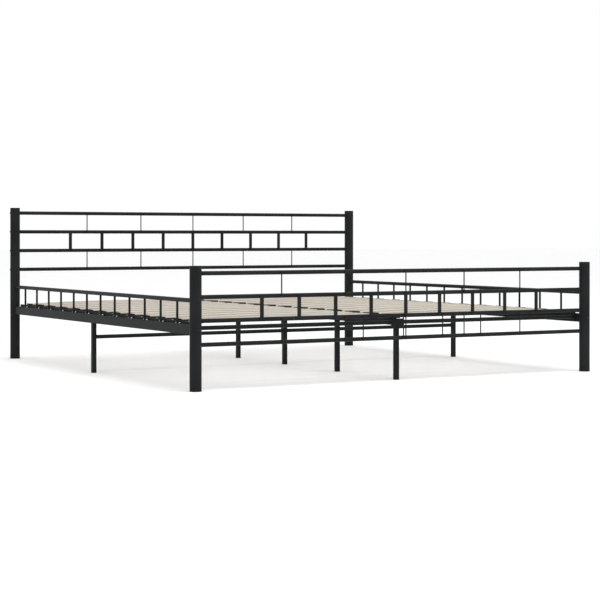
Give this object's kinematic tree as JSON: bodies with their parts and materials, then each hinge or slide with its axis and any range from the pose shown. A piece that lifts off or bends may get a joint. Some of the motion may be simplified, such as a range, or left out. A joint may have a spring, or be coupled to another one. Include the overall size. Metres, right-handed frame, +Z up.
{
  "type": "double bed frame",
  "caption": "Black tubular steel double bed frame with round corner posts, barred low head, foot and side rails, centre legs and bowed plywood slats.",
  "frame": {"origin": "on the floor, at the middle of the frame's outline", "axes": "+Z up, +Y from the footboard to the headboard, +X to the right seen from the footboard"},
  "size_m": [2.087, 2.161, 0.78],
  "materials": {
    "powder_coat": "satin black powder coat",
    "black_bolt": "black oxide",
    "steel_insert": "plain steel",
    "zinc_screw": "bright zinc plate",
    "black_plastic": "moulded black polypropylene",
    "plywood": "pale bent plywood, sanded"
  },
  "bodies": {
    "root": {"head_post_left": "powder_coat", "head_post_right": "powder_coat", "foot_post_left": "powder_coat", "foot_post_right": "powder_coat", "head_rail_top": "powder_coat", "head_rail_upper": "powder_coat", "head_rail_lower": "powder_coat", "head_rail_bottom": "powder_coat", "foot_rail_top": "powder_coat", "foot_rail_upper": "powder_coat", "foot_rail_lower": "powder_coat", "foot_rail_bottom": "powder_coat", "head_rods": "powder_coat", "head_straps": "powder_coat", "foot_rods": "powder_coat", "foot_extra_rods": "powder_coat", "foot_straps": "powder_coat", "side_rail_left": "powder_coat", "side_rail_right": "powder_coat", "slat_ledge_left": "powder_coat", "slat_ledge_right": "powder_coat", "guard_rail_left": "powder_coat", "guard_rail_right": "powder_coat", "guard_bars_left": "powder_coat", "guard_bars_right": "powder_coat", "side_leg_left": "powder_coat", "side_leg_right": "powder_coat", "mid_crossbar_left": "powder_coat", "mid_crossbar_right": "powder_coat", "guard_bar_feet": "powder_coat", "end_crossbar_foot": "powder_coat", "end_crossbar_head": "powder_coat", "centre_beam": "powder_coat", "beam_brackets": "powder_coat", "centre_legs": "powder_coat", "head_rail_bolts": "black_bolt", "side_bolts": "black_bolt", "head_rail_inserts": "steel_insert", "side_rail_inserts": "steel_insert", "guard_rail_inserts": "steel_insert", "guard_foot_screws": "zinc_screw", "post_caps": "black_plastic", "post_glides": "black_plastic", "leg_glides": "black_plastic", "slat_holders_left": "black_plastic", "slat_holders_right": "black_plastic", "centre_holders": "black_plastic", "slat_row_1": "plywood", "slat_row_2": "plywood", "slat_row_3": "plywood", "slat_row_4": "plywood", "slat_row_5": "plywood", "slat_row_6": "plywood", "slat_row_7": "plywood", "slat_row_8": "plywood", "slat_row_9": "plywood", "slat_row_10": "plywood", "slat_row_11": "plywood", "slat_row_12": "plywood", "slat_row_13": "plywood"}
  },
  "joints": []
}
